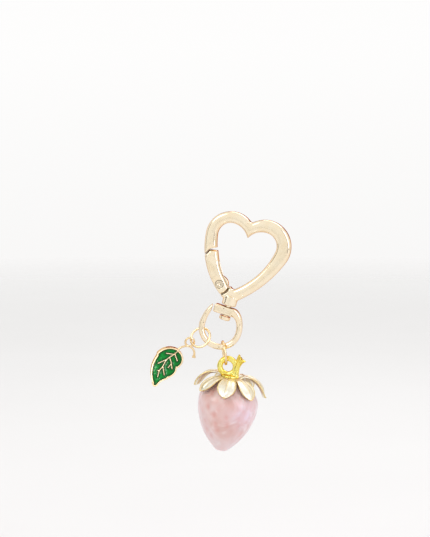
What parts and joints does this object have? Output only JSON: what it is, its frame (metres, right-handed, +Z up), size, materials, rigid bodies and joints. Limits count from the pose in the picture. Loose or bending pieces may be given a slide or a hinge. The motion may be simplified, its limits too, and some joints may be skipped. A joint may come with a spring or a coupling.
{
  "type": "heart clasp keyring charm",
  "caption": "Pale-gold heart-shaped spring-gate clasp with a swivel ring carrying an enamelled leaf charm and a pink resin strawberry charm.",
  "frame": {"origin": "inner top of the heart's left lobe, where the clasp hangs on a strap or hook", "axes": "+Z up, +X to the right across the heart, +Y away from the front through the clasp's thickness"},
  "size_m": [0.0568, 0.0257, 0.0965],
  "materials": {
    "pale_gold": "polished pale-gold plate on zinc casting and iron wire",
    "yellow_gold": "polished lemon-gold plate",
    "cream_gold": "bright cream-gold plate",
    "spring_steel": "bright wire",
    "green_enamel": "glossy soft enamel",
    "pink_resin": "marbled pearly resin",
    "adhesive": "cured clear adhesive"
  },
  "bodies": {
    "carabiner": {"heart_frame": "pale_gold", "gate_pivot_rivet": "pale_gold", "swivel_rivet": "pale_gold", "gate_spring": "spring_steel"},
    "gate": {"gate": "pale_gold"},
    "swivel": {"swivel_ring": "pale_gold"},
    "leaf_link": {"leaf_jump_ring": "pale_gold"},
    "leaf_charm": {"leaf_plate": "pale_gold", "leaf_enamel": "green_enamel"},
    "berry_link": {"berry_jump_ring": "pale_gold"},
    "strawberry": {"berry_hanger": "yellow_gold", "calyx": "cream_gold", "peg_adhesive": "adhesive", "berry": "pink_resin"}
  },
  "joints": [
    {"name": "gate_hinge", "type": "hinge", "parent": "carabiner", "child": "gate", "pos_m": [-0.00519, 0, -0.02441], "axis": [0, 1, 0], "range_deg": [0, 28], "stiffness_Nm_per_rad": 0.03, "springref_deg": -17.19, "deforming": ["gate_spring"]},
    {"name": "swivel_turn", "type": "hinge", "parent": "carabiner", "child": "swivel", "pos_m": [-0.00195, 0, -0.03366], "axis": [0.2924, 0, 0.9563], "continuous": true},
    {"name": "leaf_link_slide", "type": "hinge", "parent": "swivel", "child": "leaf_link", "pos_m": [-0.00506, 0, -0.04212], "axis": [0, 1, 0], "range_deg": [-12, 15]},
    {"name": "leaf_swing", "type": "hinge", "parent": "leaf_link", "child": "leaf_charm", "pos_m": [-0.0132, 0, -0.04616], "axis": [-0.2421, -0.8387, 0.4879], "range_deg": [-40, 18]},
    {"name": "berry_link_swing", "type": "hinge", "parent": "swivel", "child": "berry_link", "pos_m": [-0.0038, 0, -0.04962], "axis": [0.9863, 0, 0.165], "range_deg": [-60, 60]},
    {"name": "strawberry_swing", "type": "hinge", "parent": "berry_link", "child": "strawberry", "pos_m": [-0.00282, 0, -0.05662], "axis": [-0.2419, 0.9703, 0], "range_deg": [-20, 25]}
  ]
}
